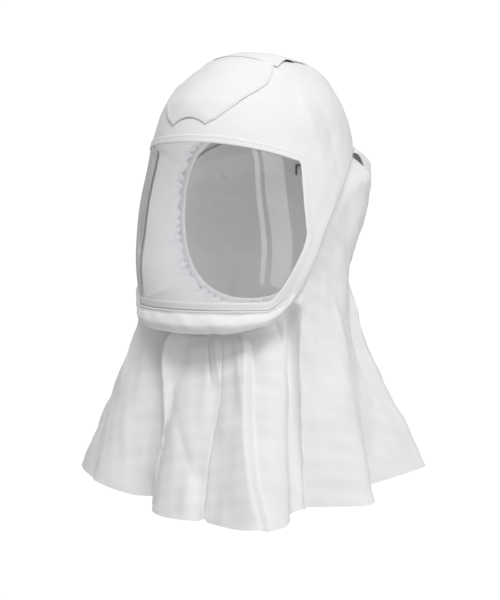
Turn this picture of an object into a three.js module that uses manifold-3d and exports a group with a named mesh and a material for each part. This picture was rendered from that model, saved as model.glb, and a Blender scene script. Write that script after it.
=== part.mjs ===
// Loose-fitting respirator hood: a fabric head cover with a wide clear window, a chin roll,
// an inner face seal, an air inlet at the back and a flared shroud. Millimetres, +Z up.
// The wearer faces -Y and the wearer's left is +X. The origin is where the head meets the inside of the crown.
import * as THREE from "three";
import { mergeVertices } from "three/addons/utils/BufferGeometryUtils.js";
import Module from "manifold-3d";

const wasm = await Module();
wasm.setup();

// Driving sizes of the head cover
const headHalfWidth = 134; // at the widest section, low on the window
const headHalfDepth = 153;
const headHeight = 300; // crown to the lower edge of the window
const fabric = 2; // wall of every cloth piece
const pieceGap = 0.4; // between pieces that touch

// Driving sizes of the window, measured flat along the cloth. Heights are below the crown.
const wrapRadius = 150; // flat widths are wrapped round this radius
const windowTopHalf = 161;
const windowSideHalf = 166;
const windowBottomHalf = 112;
const windowTop = -116;
const windowBottom = -headHeight - 1;
const windowRightDip = 8; // from the middle of the top edge down to its right corner
const windowLeftDip = 20;
const windowTaper = 81; // height over which the sides turn in
const windowCorner = 10;
const lensThickness = 1;
const lensClearance = 0.6;
const hemWidth = 8;
const hemThickness = 1.2;
const hemOverlap = 0.5; // how far the hem stands back from the window's edge

// Driving sizes of the crown
const yokeHalf = 58;
const yokeBack = -20; // the yoke runs from under the band to the forehead
const yokeInset = 22; // from the cover's half depth back to the yoke's lower edge
const yokeFront = yokeInset - headHalfDepth;
const yokeThickness = 1.2;
const yokeLift = 2.1; // clear of the cover where both are tightly curved
const ridgeHalf = 48; // raised band over the crown that covers the air passage
const ridgeBackHalf = 34;
const ridgeShift = 7; // its front end lies this far towards the wearer's left
const ridgeFront = -32;
const ridgeBack = 96;
const ridgeGap = 0.9; // between the band's edges and the cover
const ridgeRise = 5;

// Driving sizes of the chin roll
const chinSpan = 58; // degrees to each side
const chinTop = windowBottom - hemWidth - 1;
const chinDrop = 27;
const chinEndShare = 0.28; // of that drop, at its two ends
const chinLift = 22; // how far its ends rise along the window's corners
const chinLiftFrom = 44; // degrees
const chinBulge = 9;
const chinTuck = 40;

// Driving sizes of the face seal
const faceHalfWidth = 92;
const faceAbove = 16; // the opening reaches this far above the window
const faceToWide = 89; // from the window's top down to the opening's widest place
const faceBelow = 4;
const faceTop = windowTop + faceAbove;
const faceWide = windowTop - faceToWide;
const faceBottom = windowBottom - faceBelow;
const facePlane = -10;
const sealOverlap = 3; // how far the seal reaches past the window's edge
const sealInset = 5.2; // from the outside of the cover to the inside of the seal
const sealSlack = 5;
const elasticWidth = 9;
const elasticThickness = 3;
const elasticSeat = 0.6; // the casing's middle in front of the seal's inner edge

// Driving sizes of the shroud
const shroudRadius = 212;
const neckRadius = 150;
const shroudHem = -545;
const neckHeight = -headHeight;
const neckDrop = 22; // below the cover's edge, where that is lower
const shroudRows = 9;
const shroudTuck = 12; // how far its top edge reaches up inside the cover
const shroudDrop = 4; // and how far it hangs straight below it
const shroudInset = fabric + 4.5; // from the outside of the cover to the inside of the shroud
const shroudSwell = 20; // how far it bellies out above the neck, beside the air inlet

// Driving sizes of the air inlet and its fabric cover
const inletCoverSpan = 62; // degrees to each side of the back
const inletCoverRise = 40;
const inletHalfWidth = 46;
const inletHalfDepth = 15;
const inletDrop = 26; // from the rear edge of the cover down to the housing
const inletHeight = 25;
const inletLid = 4; // wall over the bore
const portOuter = 17;
const portBore = 14;
const portBack = 2; // the port sits this far behind the housing's middle
const portDrop = 14;
const passageHalfWidth = 18;
const passageHalfHeight = 9;
const passageWall = 2.5;
const passageReach = 5; // how far the passage stands into the hood

const rad = Math.PI / 180;
const { lerp, smoothstep } = THREE.MathUtils;

// Sections of the head cover, from the crown down. height is a share of headHeight, width of headHalfWidth,
// depth and middle of headHalfDepth. middle moves the section back.
const headSections = [
  { height: 0.027, width: 0.0, depth: 0.0, middle: 0.22 },
  { height: 0.034, width: 0.21, depth: 0.34, middle: 0.22 },
  { height: 0.052, width: 0.38, depth: 0.53, middle: 0.225 },
  { height: 0.09, width: 0.482, depth: 0.686, middle: 0.228 },
  { height: 0.133, width: 0.569, depth: 0.776, middle: 0.188 },
  { height: 0.183, width: 0.667, depth: 0.846, middle: 0.138 },
  { height: 0.233, width: 0.735, depth: 0.91, middle: 0.106 },
  { height: 0.283, width: 0.784, depth: 0.943, middle: 0.096 },
  { height: 0.383, width: 0.852, depth: 0.982, middle: 0.073 },
  { height: 0.483, width: 0.905, depth: 0.974, middle: 0.045 },
  { height: 0.633, width: 0.958, depth: 0.978, middle: -0.01 },
  { height: 0.783, width: 0.993, depth: 0.966, middle: -0.036 },
  { height: 0.883, width: 0.989, depth: 0.972, middle: -0.04 },
  { height: 1.0, width: 0.959, depth: 0.946, middle: -0.027 },
  { height: 1.2, width: 0.9, depth: 0.9, middle: -0.02 },
];

// Lower edge of the head cover. angle is degrees from the front, height a share of headHeight.
const coverEdge = [
  { angle: 0, height: 1.053 },
  { angle: 44, height: 1.05 },
  { angle: 52, height: 1.02 },
  { angle: 62, height: 0.95 },
  { angle: 69, height: 0.84 },
  { angle: 76, height: 0.73 },
  { angle: 88, height: 0.6 },
  { angle: 100, height: 0.49 },
  { angle: 112, height: 0.425 },
  { angle: 130, height: 0.38 },
  { angle: 180, height: 0.36 },
];

// The shroud's folds. neck is a share of neckRadius, hem of shroudRadius, and rise lifts the hem, in shares of
// shroudRadius. swell is a share of shroudSwell. Angles run from the front towards the wearer's left.
const shroudFolds = [
  { angle: -172, neck: 0.9, hem: 0.86, rise: 0.05, swell: 0 },
  { angle: -160, neck: 0.93, hem: 1.0, rise: 0.09, swell: 0.1 },
  { angle: -148, neck: 0.9, hem: 0.83, rise: 0.06, swell: 0.6 },
  { angle: -134, neck: 0.92, hem: 0.99, rise: 0.1, swell: 0.9 },
  { angle: -120, neck: 0.9, hem: 0.82, rise: 0.08, swell: 0.8 },
  { angle: -106, neck: 0.93, hem: 0.97, rise: 0.11, swell: 0.3 },
  { angle: -92, neck: 0.91, hem: 0.84, rise: 0.09, swell: 0 },
  { angle: -76, neck: 0.9, hem: 0.98, rise: 0.11, swell: 0 },
  { angle: -58, neck: 0.87, hem: 1.0, rise: 0.125, swell: 0 },
  { angle: -40, neck: 0.86, hem: 0.93, rise: 0.1, swell: 0 },
  { angle: -24, neck: 0.78, hem: 0.81, rise: 0.06, swell: 0 },
  { angle: -13, neck: 0.73, hem: 0.7, rise: 0.04, swell: 0 },
  { angle: -6, neck: 0.72, hem: 0.8, rise: -0.005, swell: 0 },
  { angle: 6, neck: 0.71, hem: 0.84, rise: -0.005, swell: 0 },
  { angle: 15, neck: 0.72, hem: 0.82, rise: -0.01, swell: 0 },
  { angle: 32, neck: 0.76, hem: 0.94, rise: -0.015, swell: 0 },
  { angle: 46, neck: 0.79, hem: 0.88, rise: -0.01, swell: 0 },
  { angle: 56, neck: 0.79, hem: 0.66, rise: 0.02, swell: 0 },
  { angle: 66, neck: 0.83, hem: 0.73, rise: 0.03, swell: 0 },
  { angle: 82, neck: 0.83, hem: 0.88, rise: 0.035, swell: 0 },
  { angle: 97, neck: 0.83, hem: 0.7, rise: 0.055, swell: 0.15 },
  { angle: 110, neck: 0.82, hem: 0.76, rise: 0.06, swell: 0.6 },
  { angle: 126, neck: 0.82, hem: 1.03, rise: 0.1, swell: 1 },
  { angle: 142, neck: 0.84, hem: 0.84, rise: 0.07, swell: 0.9 },
  { angle: 156, neck: 0.88, hem: 0.98, rise: 0.08, swell: 0.25 },
  { angle: 171, neck: 0.9, hem: 0.84, rise: 0.05, swell: 0 },
];

// Colours and finishes of the materials
const finishes = {
  cloth: { color: 0xf2f2f0, roughness: 0.85, metalness: 0 },
  liner: { color: 0xdcdcdc, roughness: 0.9, metalness: 0 },
  lens: { color: 0xb4b5ba, roughness: 0.08, metalness: 0, transparent: true, opacity: 0.35 },
  plastic: { color: 0x4a4c50, roughness: 0.5, metalness: 0 },
};

// A smooth value from a table of rows, read by one column; at the ends the rows run on level.
function readTable(rows, key, at, column) {
  const last = rows.length - 1;
  let i = 0;
  while (i < last - 1 && rows[i + 1][key] < at) i++;
  const from = rows[i];
  const to = rows[i + 1];
  const before = rows[Math.max(0, i - 1)];
  const after = rows[Math.min(last, i + 2)];
  const span = to[key] - from[key];
  const t = THREE.MathUtils.clamp((at - from[key]) / span, 0, 1);
  const slopeFrom = ((to[column] - before[column]) / (to[key] - before[key])) * span;
  const slopeTo = ((after[column] - from[column]) / (after[key] - from[key])) * span;
  const t2 = t * t;
  const t3 = t2 * t;
  return (
    (2 * t3 - 3 * t2 + 1) * from[column] +
    (t3 - 2 * t2 + t) * slopeFrom +
    (3 * t2 - 2 * t3) * to[column] +
    (t3 - t2) * slopeTo
  );
}

// A point of the head's form at an angle from the front and a height below the crown, pushed out by offset.
function headPoint(angle, z, offset = 0) {
  const share = -z / headHeight;
  const halfWidth = readTable(headSections, "height", share, "width") * headHalfWidth;
  const halfDepth = readTable(headSections, "height", share, "depth") * headHalfDepth;
  const middle = readTable(headSections, "height", share, "middle") * headHalfDepth;
  return new THREE.Vector3(
    (halfWidth + offset) * Math.sin(angle),
    middle - (halfDepth + offset) * Math.cos(angle),
    z,
  );
}

// The height of the head's form above a point of the plan.
function crownHeight(x, y) {
  let high = crownTop;
  let low = -headHeight;
  for (let step = 0; step < 40; step++) {
    const z = (high + low) / 2;
    const share = -z / headHeight;
    const halfWidth = readTable(headSections, "height", share, "width") * headHalfWidth;
    const halfDepth = readTable(headSections, "height", share, "depth") * headHalfDepth;
    const middle = readTable(headSections, "height", share, "middle") * headHalfDepth;
    const inside = (x / halfWidth) ** 2 + ((y - middle) / halfDepth) ** 2 < 1;
    if (inside) low = z;
    else high = z;
  }
  return (high + low) / 2;
}

const crownTop = -headHeight * headSections[0].height;

const coverEdgeHeight = (angle) =>
  -headHeight * readTable(coverEdge, "angle", Math.abs(angle / rad), "height");

// A manifold solid from a geometry with merged vertices, its faces turned out.
function solidFrom(geometry) {
  const source = geometry.index ? geometry.toNonIndexed() : geometry.clone();
  source.deleteAttribute("normal");
  source.deleteAttribute("uv");
  const merged = mergeVertices(source, 1e-3);
  const triangles = [];
  for (let i = 0; i < merged.index.count; i += 3) {
    const [a, b, c] = [0, 1, 2].map((k) => merged.index.getX(i + k));
    if (a !== b && b !== c && c !== a) triangles.push(a, b, c);
  }
  const vertProperties = merged.attributes.position.array;
  const make = (order) =>
    new wasm.Manifold(
      new wasm.Mesh({ numProp: 3, vertProperties, triVerts: new Uint32Array(order) }),
    );
  const solid = make(triangles);
  return solid.volume() < 0 ? make(triangles.reverse()) : solid;
}

// A closed wall between two faces of a grid. pointAt(u, v, side) gives both, side 0 and side 1.
function wall(pointAt, across, down, closed) {
  const positions = [];
  const index = [];
  for (const side of [0, 1]) {
    for (let j = 0; j <= down; j++) {
      for (let i = 0; i <= across; i++) {
        const u = closed && i === across ? 0 : i / across;
        positions.push(...pointAt(u, j / down, side));
      }
    }
  }
  const id = (i, j, side) => side * (across + 1) * (down + 1) + j * (across + 1) + i;
  const quad = (a, b, c, d) => index.push(a, b, c, a, c, d);
  for (let j = 0; j < down; j++) {
    for (let i = 0; i < across; i++) {
      quad(id(i, j, 0), id(i, j + 1, 0), id(i + 1, j + 1, 0), id(i + 1, j, 0));
      quad(id(i, j, 1), id(i + 1, j, 1), id(i + 1, j + 1, 1), id(i, j + 1, 1));
    }
  }
  for (let i = 0; i < across; i++) {
    quad(id(i, 0, 0), id(i + 1, 0, 0), id(i + 1, 0, 1), id(i, 0, 1));
    quad(id(i + 1, down, 0), id(i, down, 0), id(i, down, 1), id(i + 1, down, 1));
  }
  if (!closed) {
    for (let j = 0; j < down; j++) {
      quad(id(0, j + 1, 0), id(0, j, 0), id(0, j, 1), id(0, j + 1, 1));
      quad(id(across, j, 0), id(across, j + 1, 0), id(across, j + 1, 1), id(across, j, 1));
    }
  }
  const geometry = new THREE.BufferGeometry();
  geometry.setAttribute("position", new THREE.Float32BufferAttribute(positions, 3));
  geometry.setIndex(index);
  return solidFrom(geometry);
}

// A wall that follows a surface, from one distance outside it to another. The surface's u runs towards
// the wearer's left and v down or back, and its normal comes from nearby points.
function clothWall(surface, across, down, closed, inner = -fabric, outer = 0) {
  const step = 1e-3;
  const wrap = (u) => (closed ? (u + 1) % 1 : THREE.MathUtils.clamp(u, 0, 1));
  const pointAt = (u, v, side) => {
    const alongU = surface(wrap(u + step), v).sub(surface(wrap(u - step), v));
    const alongV = surface(u, Math.min(1, v + step)).sub(surface(u, Math.max(0, v - step)));
    const outwards = alongV.cross(alongU).normalize();
    return surface(u, v).addScaledVector(outwards, side ? inner : outer);
  };
  return wall(pointAt, across, down, closed);
}

// The window's outline, laid flat: x along the cloth, y the height. grow widens it.
function windowOutline(grow = 0) {
  const top = windowTop + grow;
  const rightCorner = top - windowRightDip;
  const leftCorner = top - windowLeftDip;
  const bottom = windowBottom - grow;
  const topHalf = windowTopHalf + grow;
  const side = windowSideHalf + grow;
  const corner = windowCorner + grow;
  const shoulder = windowBottom + windowTaper;
  const turn = 0.2 * windowTaper;
  const outline = new THREE.Shape();
  outline.moveTo(0, bottom);
  outline.lineTo(windowBottomHalf, bottom);
  outline.bezierCurveTo(
    windowBottomHalf + turn + grow, bottom,
    side, shoulder - turn,
    side, shoulder,
  );
  outline.lineTo(topHalf, leftCorner - corner);
  outline.quadraticCurveTo(topHalf, leftCorner, topHalf - corner, leftCorner);
  outline.quadraticCurveTo(windowTopHalf / 2, top, 0, top);
  outline.quadraticCurveTo(-windowTopHalf / 2, top, corner - topHalf, rightCorner);
  outline.quadraticCurveTo(-topHalf, rightCorner, -topHalf, rightCorner - corner);
  outline.lineTo(-side, shoulder);
  outline.bezierCurveTo(
    -side, shoulder - turn,
    -windowBottomHalf - turn - grow, bottom,
    -windowBottomHalf, bottom,
  );
  outline.lineTo(0, bottom);
  return outline;
}

const windowSteps = 60;
const loopPoint = (outline, u) => outline.getPointAt((u + 1) % 1);
const wrapped = (flat, offset) => headPoint(flat.x / wrapRadius, flat.y, offset);

// A patch of the head's form inside the window's outline, between two offsets.
function windowPatch(grow, outer, inner, rings) {
  const outline = windowOutline(grow);
  const middle = new THREE.Vector2(0, (windowTop + windowBottom) / 2);
  const pointAt = (u, v, side) => {
    const flat = loopPoint(outline, u).lerp(middle, 1 - v);
    return wrapped(flat, side ? inner : outer);
  };
  return wall(pointAt, windowSteps, rings, true);
}

function makeHoodCover() {
  const surface = (u, v) => {
    const angle = (u - 0.5) * 2 * Math.PI;
    return headPoint(angle, lerp(crownTop, coverEdgeHeight(angle), v ** 1.5));
  };
  const shell = clothWall(surface, 60, 10, true);
  const cutter = windowPatch(0, 6 * fabric, -6 * fabric, 4);
  return shell.subtract(cutter);
}

const makeLens = () =>
  windowPatch(-lensClearance, -(fabric - lensThickness) / 2, -(fabric + lensThickness) / 2, 4);

// The folded edge that frames the window, on the outside of the cover.
function makeWindowHem() {
  const inner = windowOutline(hemOverlap);
  const outer = windowOutline(hemWidth);
  const pointAt = (u, v, side) => {
    const flat = loopPoint(inner, u).lerp(loopPoint(outer, u), v);
    return wrapped(flat, pieceGap + (side ? 0 : hemThickness));
  };
  return wall(pointAt, windowSteps, 1, true);
}

// Widths of the yoke from under the band to the forehead, in shares of its length and of yokeHalf.
const yokeSections = [
  { along: 0, width: 0.68 },
  { along: 0.2, width: 0.87 },
  { along: 0.42, width: 1 },
  { along: 0.77, width: 0.84 },
  { along: 0.94, width: 0.57 },
  { along: 1, width: 0.38 },
];

// The yoke: a flat front panel that slopes from the crown to the forehead.
function makeYokePanel() {
  const surface = (u, v) => {
    const along = lerp(v, Math.sin(0.5 * Math.PI * v), 0.4);
    const half = yokeHalf * readTable(yokeSections, "along", along, "width");
    const x = ridgeShift * (1 - along) + (2 * u - 1) * half;
    const y = lerp(yokeBack, yokeFront, along);
    return new THREE.Vector3(x, y, crownHeight(x, y));
  };
  return clothWall(surface, 12, 15, false, yokeLift, yokeLift + yokeThickness);
}

// The raised band over the crown. Its front lip covers the yoke's top and stands clear of it at both corners.
function makeCrownRidge() {
  const overYoke = yokeLift + yokeThickness - pieceGap;
  const pointAt = (u, v, side) => {
    const across = 2 * u - 1;
    const x = ridgeShift * (1 - v) + across * lerp(ridgeHalf, ridgeBackHalf, v);
    const y = lerp(ridgeFront, ridgeBack, v);
    const fullness = Math.sqrt(Math.max(0, 1 - Math.abs(across) ** 3)) * (1 - v ** 3);
    const front = overYoke * (1 - smoothstep(v, 0.2, 0.45));
    const lift = ridgeGap + front + ridgeRise * fullness;
    return new THREE.Vector3(x, y, crownHeight(x, y) + lift + (side ? 0 : fabric));
  };
  return wall(pointAt, 12, 12, false);
}

// Shape of the chin roll: out is a share of chinBulge or, where negative, of chinTuck, and down of the drop.
const chinProfile = [
  { at: 0, out: 0.16, down: 0 },
  { at: 0.14, out: 0.1, down: 0.14 },
  { at: 0.28, out: 0.62, down: 0.34 },
  { at: 0.46, out: 1.0, down: 0.6 },
  { at: 0.62, out: 0.7, down: 0.85 },
  { at: 0.74, out: 0.0, down: 1.0 },
  { at: 1, out: -1.0, down: 0.98 },
];

// How full the chin roll is at an angle: 1 in the middle and 0 at its ends.
const chinFullness = (degrees) => Math.max(0, 1 - Math.abs(degrees / chinSpan) ** 2.6);

function chinTopLine(degrees) {
  const past = Math.max(0, Math.abs(degrees) - chinLiftFrom) / (chinSpan - chinLiftFrom);
  return chinTop + chinLift * past ** 1.6;
}

const chinLowLine = (degrees) =>
  chinTopLine(degrees) - chinDrop * lerp(chinEndShare, 1, chinFullness(degrees));

function makeChinRoll() {
  const surface = (u, v) => {
    const degrees = (2 * u - 1) * chinSpan;
    const full = chinFullness(degrees);
    const out = readTable(chinProfile, "at", v, "out");
    const down = readTable(chinProfile, "at", v, "down");
    const high = chinTopLine(degrees);
    const low = chinLowLine(degrees);
    const push = out > 0 ? out * chinBulge * (0.3 + 0.7 * full) : out * chinTuck * full;
    return headPoint(degrees * rad, high + down * (low - high), 2 * pieceGap + fabric + push);
  };
  return clothWall(surface, 26, 8, false);
}

// The face opening, seen from the front, in the plane of the face.
function faceOutline(grow = 0) {
  const half = faceHalfWidth + grow;
  const top = faceTop + grow;
  const bottom = faceBottom - grow;
  const outline = new THREE.Shape();
  outline.moveTo(0, bottom);
  outline.bezierCurveTo(0.62 * half, bottom, half, 0.35 * faceWide + 0.65 * bottom, half, faceWide);
  outline.bezierCurveTo(half, 0.4 * faceWide + 0.6 * top, 0.7 * half, top, 0, top);
  outline.bezierCurveTo(-0.7 * half, top, -half, 0.4 * faceWide + 0.6 * top, -half, faceWide);
  outline.bezierCurveTo(-half, 0.35 * faceWide + 0.65 * bottom, -0.62 * half, bottom, 0, bottom);
  return outline;
}

// The inner membrane that runs from the window's edge back to the face opening.
function makeFaceSeal() {
  const outer = windowOutline(sealOverlap);
  const inner = faceOutline(elasticWidth);
  const surface = (u, v) => {
    const start = wrapped(loopPoint(outer, u), -sealInset);
    const flat = loopPoint(inner, u);
    const end = new THREE.Vector3(flat.x, facePlane, flat.y);
    return start.lerp(end, v).add(new THREE.Vector3(0, sealSlack * Math.sin(v * Math.PI), 0));
  };
  return clothWall(surface, 48, 3, true, 0, fabric);
}

function makeFaceElastic() {
  const outer = faceOutline(elasticWidth - pieceGap);
  const inner = faceOutline(0);
  const pointAt = (u, v, side) => {
    const flat = loopPoint(inner, u).lerp(loopPoint(outer, u), v);
    const belly = 0.35 + 0.65 * Math.sqrt(1 - (2 * v - 1) ** 2);
    const y = facePlane - elasticSeat + (side ? 0.5 : -0.5) * elasticThickness * belly;
    return new THREE.Vector3(flat.x, y, flat.y);
  };
  return wall(pointAt, 48, 2, true);
}

// The folds with the first and last rows repeated past the back, so that they join up.
const foldRows = [
  ...shroudFolds.slice(-2).map((row) => ({ ...row, angle: row.angle - 360 })),
  ...shroudFolds,
  ...shroudFolds.slice(0, 2).map((row) => ({ ...row, angle: row.angle + 360 })),
];

// A point just inside the lower edge of the cover or the chin roll, raised by lift.
function shroudEdgePoint(degrees, lift) {
  const chin = Math.abs(degrees) < chinSpan;
  const low = chin ? chinLowLine(degrees) : coverEdgeHeight(degrees * rad);
  const inset = shroudInset + chinTuck * chinFullness(degrees);
  return headPoint(degrees * rad, low + lift, -inset);
}

// A point of a ring round the upright axis.
function ringPoint(degrees, radius, z) {
  const angle = degrees * rad;
  return new THREE.Vector3(radius * Math.sin(angle), -radius * Math.cos(angle), z);
}

// The shroud hangs from the edge of the cover past the neck to the hem.
function shroudSurface(u, v) {
  const degrees = (u - 0.5) * 360;
  const fold = (column) => readTable(foldRows, "angle", degrees, column);
  const edge = shroudEdgePoint(degrees, -shroudDrop);
  const neckZ = Math.min(neckHeight, edge.z - neckDrop);
  const line = new THREE.CatmullRomCurve3([
    shroudEdgePoint(degrees, shroudTuck),
    edge,
    ringPoint(degrees, fold("neck") * neckRadius, neckZ),
    ringPoint(degrees, fold("hem") * shroudRadius, shroudHem + fold("rise") * shroudRadius),
  ]);
  const firstRow = 1 / shroudRows;
  const spans = v < firstRow ? v / firstRow : 1 + (2 * (v - firstRow)) / (1 - firstRow);
  const point = line.getPoint(spans / 3);
  const hang = (edge.z - point.z) / (edge.z - neckZ);
  const belly = smoothstep(hang, 0, 0.2) * (1 - smoothstep(hang, 0.35, 0.95));
  return point.add(ringPoint(degrees, shroudSwell * fold("swell") * belly, 0));
}

// Places of the air inlet, worked out from the rear edge of the cover and the shroud below it
const rearEdge = coverEdgeHeight(Math.PI);
const inletTop = rearEdge - inletDrop;
const inletBottom = inletTop - inletHeight;
const shroudLine = Array.from({ length: 61 }, (_, i) => shroudSurface(0, i / 60));
const besideInlet = shroudLine.filter(({ z }) => z < inletTop + fabric && z > inletBottom - fabric);
const shroudBack = fabric + Math.max(...besideInlet.map((point) => point.y));
const inletMiddle = shroudBack + pieceGap + inletHalfDepth;
const passageFront = shroudBack - passageReach;

// The flat air passage through the cloth, widened by grow.
function inletPassage(grow, front) {
  const box = new THREE.BoxGeometry(
    2 * (passageHalfWidth + grow),
    inletMiddle - front,
    2 * (passageHalfHeight + grow),
  );
  box.translate(0, (inletMiddle + front) / 2, (inletTop + inletBottom) / 2);
  return solidFrom(box);
}

function makeShroud() {
  const shell = clothWall(shroudSurface, 90, shroudRows, true, 0, fabric);
  return shell.subtract(inletPassage(passageWall + pieceGap, passageFront - fabric));
}

// The housing that the breathing tube plugs into, with a passage through the cloth.
function makeAirInlet() {
  const oval = new THREE.Shape();
  oval.absellipse(0, 0, inletHalfWidth, inletHalfDepth, 0, 2 * Math.PI);
  const body = new THREE.ExtrudeGeometry(oval, {
    depth: inletHeight,
    bevelEnabled: false,
    curveSegments: 16,
  });
  body.translate(0, inletMiddle, inletBottom);
  const portLow = inletBottom - portDrop;
  const cylinder = (radius, low, high) => {
    const shape = new THREE.CylinderGeometry(radius, radius, high - low, 28);
    shape.rotateX(Math.PI / 2);
    shape.translate(0, inletMiddle + portBack, (high + low) / 2);
    return solidFrom(shape);
  };
  return solidFrom(body)
    .add(cylinder(portOuter, portLow, inletBottom + passageWall))
    .add(inletPassage(passageWall, passageFront))
    .subtract(cylinder(portBore, portLow - 1, inletTop - inletLid))
    .subtract(inletPassage(0, passageFront - 1));
}

// The pouch of cloth over the inlet, open at the bottom.
function makeInletCover() {
  const surface = (u, v) => {
    const spread = 2 * u - 1;
    const angle = Math.PI + spread * inletCoverSpan * rad;
    const high = coverEdgeHeight(angle > Math.PI ? angle - 2 * Math.PI : angle) - 1;
    const low = lerp(high - fabric, inletBottom + fabric, smoothstep(1 - Math.abs(spread), 0, 0.2));
    const z = lerp(high, low, v);
    const across = Math.max(0, 1 - spread * spread) ** 0.8;
    const down = Math.sin(Math.min(1, v * 1.3) * 0.5 * Math.PI);
    return headPoint(angle, z, pieceGap + inletCoverRise * across * down);
  };
  return clothWall(surface, 20, 7, false);
}

const cloth = new THREE.MeshStandardMaterial(finishes.cloth);
const pieces = [
  ["hood_cover", makeHoodCover, cloth],
  ["lens", makeLens, new THREE.MeshStandardMaterial(finishes.lens)],
  ["window_hem", makeWindowHem, cloth],
  ["yoke_panel", makeYokePanel, cloth],
  ["crown_ridge", makeCrownRidge, cloth],
  ["chin_roll", makeChinRoll, cloth],
  ["face_seal", makeFaceSeal, new THREE.MeshStandardMaterial(finishes.liner)],
  ["face_elastic", makeFaceElastic, new THREE.MeshStandardMaterial(finishes.liner)],
  ["shroud", makeShroud, cloth],
  ["inlet_cover", makeInletCover, cloth],
  ["air_inlet", makeAirInlet, new THREE.MeshStandardMaterial(finishes.plastic)],
];

const hood = new THREE.Group();
for (const [name, make, material] of pieces) {
  const { vertProperties, triVerts } = make().getMesh();
  const geometry = new THREE.BufferGeometry();
  geometry.setAttribute("position", new THREE.BufferAttribute(vertProperties, 3));
  geometry.setIndex(new THREE.BufferAttribute(triVerts, 1));
  geometry.computeVertexNormals();
  const mesh = new THREE.Mesh(geometry, material);
  mesh.name = name;
  hood.add(mesh);
}
hood.position.z = fabric - crownHeight(0, 0); // the inside of the crown lies at the origin

export default hood;
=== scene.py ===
"""Looks of the respirator hood: fine cloth, window, stitching, lights and camera round the fixed frame."""

import math

import bpy
import numpy as np
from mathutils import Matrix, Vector


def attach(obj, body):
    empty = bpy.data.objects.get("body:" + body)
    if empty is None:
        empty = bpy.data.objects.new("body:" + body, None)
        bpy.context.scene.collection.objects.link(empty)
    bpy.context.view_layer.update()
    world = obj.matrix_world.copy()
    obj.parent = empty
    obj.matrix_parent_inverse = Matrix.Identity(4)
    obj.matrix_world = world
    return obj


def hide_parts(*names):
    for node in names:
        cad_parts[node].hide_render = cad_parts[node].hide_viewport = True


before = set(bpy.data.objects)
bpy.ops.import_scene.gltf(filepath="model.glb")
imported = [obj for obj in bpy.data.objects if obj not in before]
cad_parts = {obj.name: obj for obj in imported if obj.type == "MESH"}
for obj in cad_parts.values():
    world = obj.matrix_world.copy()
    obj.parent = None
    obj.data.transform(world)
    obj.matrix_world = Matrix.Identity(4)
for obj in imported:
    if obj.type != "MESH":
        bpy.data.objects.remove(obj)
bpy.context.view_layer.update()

MM = 0.001

# Sizes of the head cover, in millimetres, as in the part's source
HEAD_HALF_WIDTH = 134
HEAD_HALF_DEPTH = 153
HEAD_HEIGHT = 300
FABRIC = 2
PIECE_GAP = 0.4

# Sizes of the window, measured flat along the cloth, with heights below the crown
WRAP_RADIUS = 150
WINDOW_TOP_HALF = 166
WINDOW_SIDE_HALF = 171
WINDOW_BOTTOM_HALF = 116
WINDOW_TOP = -116
WINDOW_BOTTOM = -HEAD_HEIGHT - 1
WINDOW_RIGHT_DIP = 8
WINDOW_LEFT_DIP = 20
WINDOW_TAPER = 81
WINDOW_CORNER = 10
LENS_THICKNESS = 1
LENS_CLEARANCE = 0.6
HEM_WIDTH = 8
HEM_THICKNESS = 0.8

# Sizes of the crown
YOKE_HALF = 58
YOKE_BACK = -20
YOKE_FRONT = 22 - HEAD_HALF_DEPTH
YOKE_THICKNESS = 1.2
YOKE_LIFT = 2.1
RIDGE_HALF = 48
RIDGE_BACK_HALF = 34
RIDGE_SHIFT = 7
RIDGE_FRONT = -45  # in the middle of its rounded lip
RIDGE_ROUND = 19  # how much further back the lip's corners lie
RIDGE_BACK = 96
RIDGE_GAP = 0.9
RIDGE_RISE = 2.2

# Sizes of the chin roll
CHIN_SPAN = 58
CHIN_TOP = WINDOW_BOTTOM - HEM_WIDTH - 1
CHIN_DROP = 27
CHIN_END_SHARE = 0.28
CHIN_LIFT = 22
CHIN_LIFT_FROM = 44
CHIN_BULGE = 9
CHIN_TUCK = 40

# Sizes of the face seal
FACE_HALF_WIDTH = 92
FACE_TOP = WINDOW_TOP + 16
FACE_WIDE = WINDOW_TOP - 89
FACE_BOTTOM = WINDOW_BOTTOM - 4
FACE_PLANE = -10
SEAL_OVERLAP = 3
SEAL_INSET = 5.2
SEAL_SLACK = 5
ELASTIC_WIDTH = 9
ELASTIC_THICKNESS = 3
ELASTIC_SEAT = 0.6

# Sizes of the shroud
SHROUD_RADIUS = 212
NECK_RADIUS = 150
SHROUD_HEM = -545
NECK_HEIGHT = -HEAD_HEIGHT
NECK_DROP = 22
SHROUD_TUCK = 12
SHROUD_DROP = 4
SHROUD_INSET = FABRIC + 4.5
SHROUD_SWELL = 27

# Sizes of the air inlet and its pouch
INLET_COVER_SPAN = 62
INLET_COVER_RISE = 43
INLET_DROP = 26
INLET_HEIGHT = 25


def table(columns, rows):
    """Rows of numbers read by the names of their columns."""
    return dict(zip(columns.split(), np.array(rows, float).T))


# Sections of the head cover from the crown down, in shares of its height, half width and half depth
HEAD_SECTIONS = table("height width depth middle", [
    (0.027, 0.0, 0.0, 0.22),
    (0.034, 0.21, 0.34, 0.22),
    (0.052, 0.38, 0.53, 0.225),
    (0.09, 0.482, 0.686, 0.228),
    (0.133, 0.569, 0.776, 0.188),
    (0.183, 0.667, 0.846, 0.138),
    (0.233, 0.735, 0.91, 0.106),
    (0.283, 0.784, 0.943, 0.096),
    (0.383, 0.852, 0.982, 0.073),
    (0.483, 0.905, 0.974, 0.045),
    (0.633, 0.958, 0.978, -0.01),
    (0.783, 0.993, 0.966, -0.036),
    (0.883, 0.989, 0.972, -0.04),
    (1.0, 0.959, 0.946, -0.027),
    (1.2, 0.9, 0.9, -0.02),
])

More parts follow.
